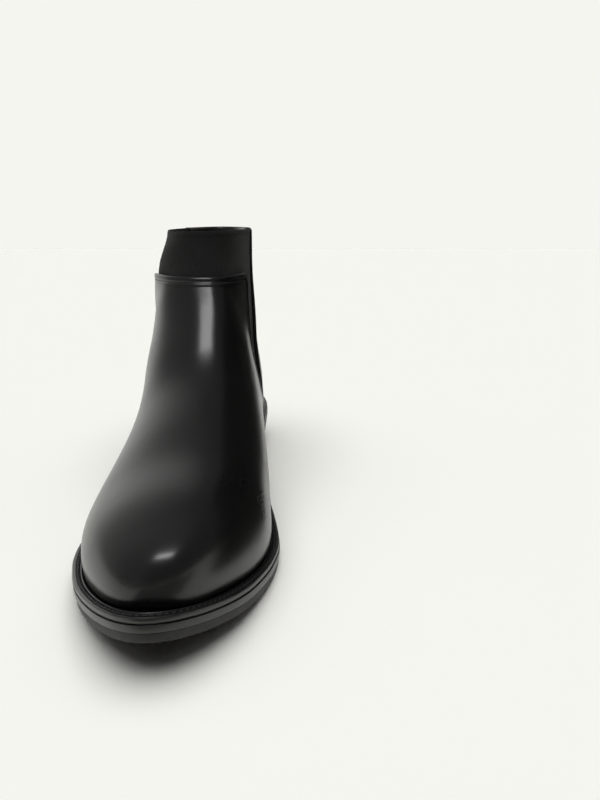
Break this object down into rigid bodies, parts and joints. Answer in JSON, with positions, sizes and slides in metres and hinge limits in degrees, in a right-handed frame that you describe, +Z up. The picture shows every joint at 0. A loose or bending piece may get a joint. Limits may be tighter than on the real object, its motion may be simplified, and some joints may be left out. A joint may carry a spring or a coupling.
{
  "type": "chelsea boot",
  "caption": "Ankle boot with a plain leather vamp, an elastic collar that wraps the front and sides, a stitched welt, a slim sole and a low stacked heel.",
  "frame": {"origin": "bottom centre of the boot's bounding box, on the ground under the middle of the sole's length", "axes": "+Z up, +Y towards the heel (toe points to -Y), +X towards the medial (inner) side of this right-foot boot"},
  "size_m": [0.0994, 0.2986, 0.1629],
  "materials": {
    "calf": "smooth black calf leather, polished",
    "elastic": "matte black ribbed elastic webbing",
    "thread": "black waxed thread",
    "lining": "dull black lining leather",
    "sole_edge": "black stained and waxed edge leather",
    "sole_rubber": "black moulded rubber",
    "stiffener": "pressed stiffener board",
    "insole": "vegetable tanned insole leather",
    "cork": "granulated cork",
    "foam": "closed cell heel foam",
    "steel": "bright steel"
  },
  "bodies": {
    "root": {"outsole": "sole_rubber", "midsole": "sole_edge", "welt": "sole_edge", "heel_top_piece": "sole_rubber", "heel_lift_1": "sole_edge", "heel_lift_2": "sole_edge", "heel_lift_3": "sole_edge", "heel_nail_1": "steel", "heel_nail_2": "steel", "heel_nail_3": "steel", "heel_nail_4": "steel", "heel_nail_5": "steel", "cork_filler": "cork", "shank": "steel", "insole_board": "insole", "heel_cushion": "foam", "insock": "lining", "welt_thread": "thread", "vamp": "calf", "quarter_medial": "calf", "quarter_lateral": "calf", "back_strip": "calf", "elastic_collar": "elastic", "toe_puff": "stiffener", "heel_counter": "stiffener", "vamp_lining": "lining", "quarter_lining": "lining", "vamp_thread": "thread", "quarter_thread_medial": "thread", "quarter_thread_lateral": "thread"}
  },
  "joints": []
}
